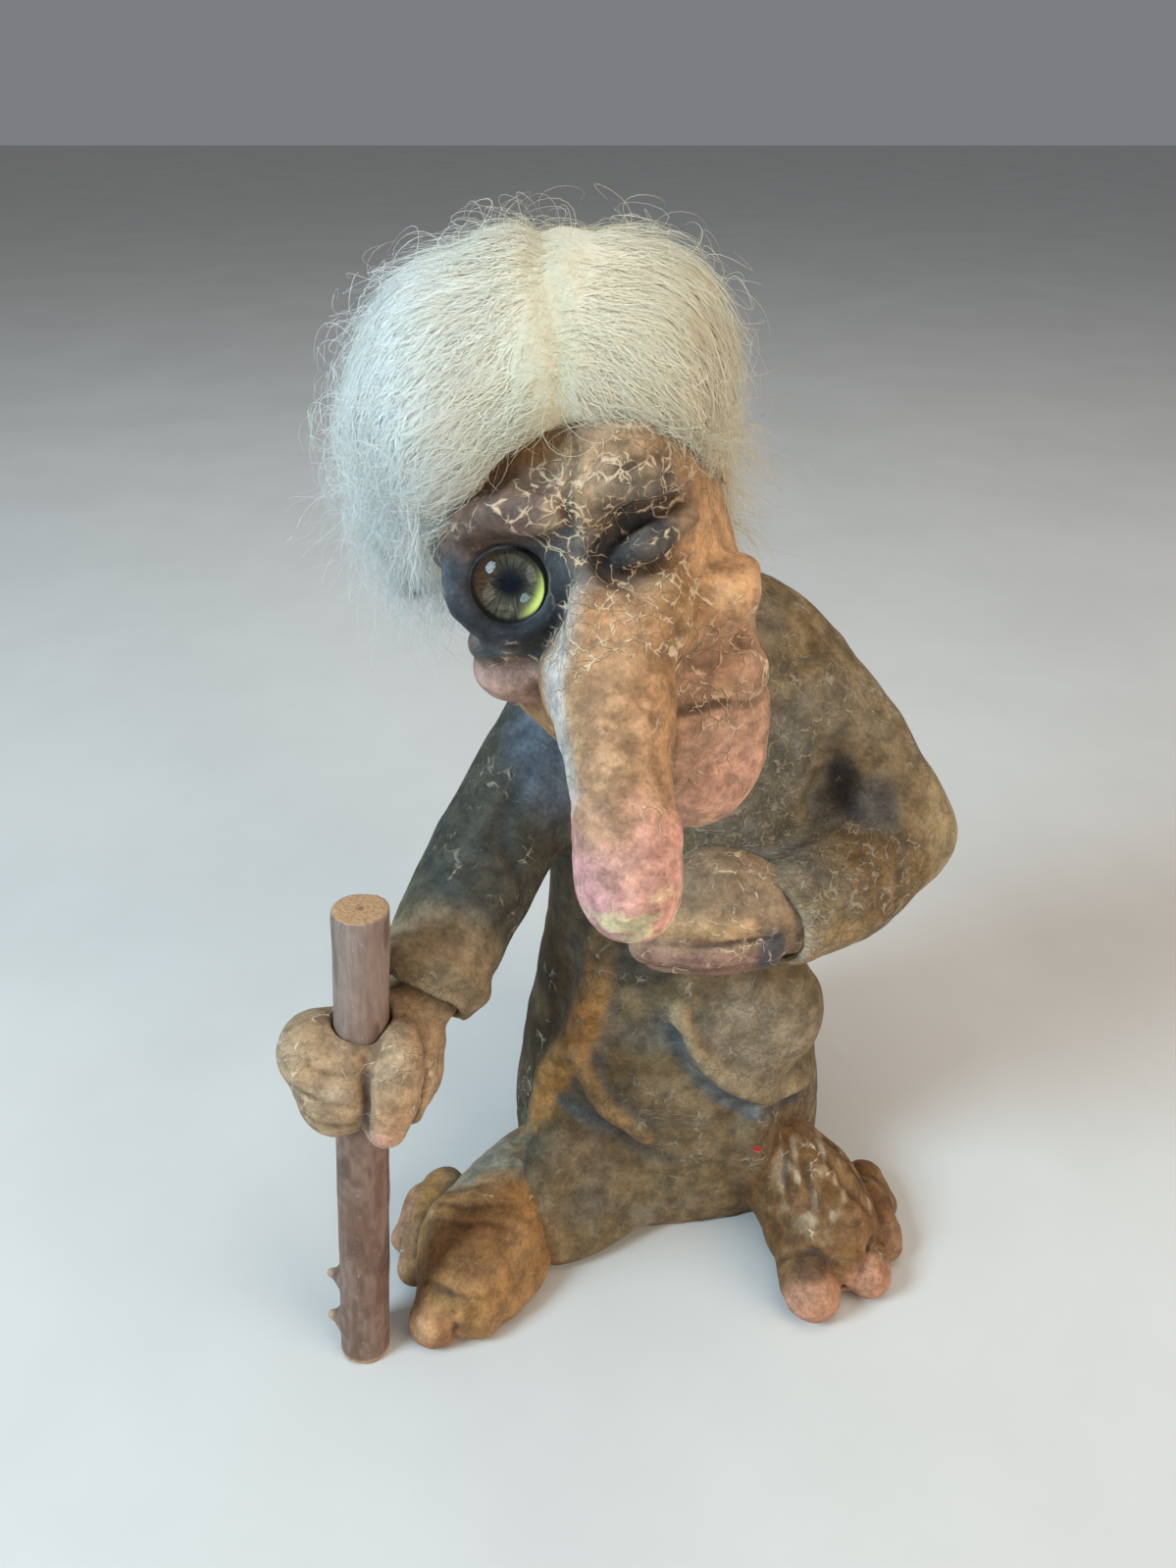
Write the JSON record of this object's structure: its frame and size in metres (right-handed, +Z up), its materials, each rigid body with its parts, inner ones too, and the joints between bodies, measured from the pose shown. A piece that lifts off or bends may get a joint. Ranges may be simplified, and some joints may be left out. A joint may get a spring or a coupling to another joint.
{
  "type": "troll figure",
  "caption": "Stooping folk troll figure with a long nose, one glass eye, a wool wig, a robe and bare feet, leaning on a loose twig staff that slides through its fist.",
  "frame": {"origin": "on the floor under the middle of the robe's flat base", "axes": "+Z up, -Y the way the figure faces, +X to the viewer's right"},
  "size_m": [0.1462, 0.1257, 0.234],
  "materials": {
    "robe_paint": "matte painted latex, grey-brown with tan dry-brushing and pale crackle lines",
    "skin_paint": "matte painted latex, terracotta and tan with charcoal eyes and pale crackle lines",
    "foam": "soft filling",
    "eye_glass": "clear polished dome",
    "eye_paint": "painted yellow-green iris with a dark pupil",
    "hide": "tanned sheepskin",
    "wool": "long loose cream wool",
    "twig": "dry bark with pale cut ends"
  },
  "bodies": {
    "figure": {"robe_casting": "robe_paint", "body_filling": "foam", "head_casting": "skin_paint", "head_filling": "foam", "eye_lens": "eye_glass", "eye_iris": "eye_paint", "wig_hide": "hide", "wig_fleece": "wool", "right_hand": "skin_paint", "left_hand": "skin_paint", "right_foot": "skin_paint", "left_foot": "skin_paint"},
    "staff": {"staff": "twig"}
  },
  "joints": [
    {"name": "staff_slide", "type": "slide", "parent": "figure", "child": "staff", "axis": [0.0741, 0.1075, 0.9914], "range_m": [0, 0.04]}
  ]
}
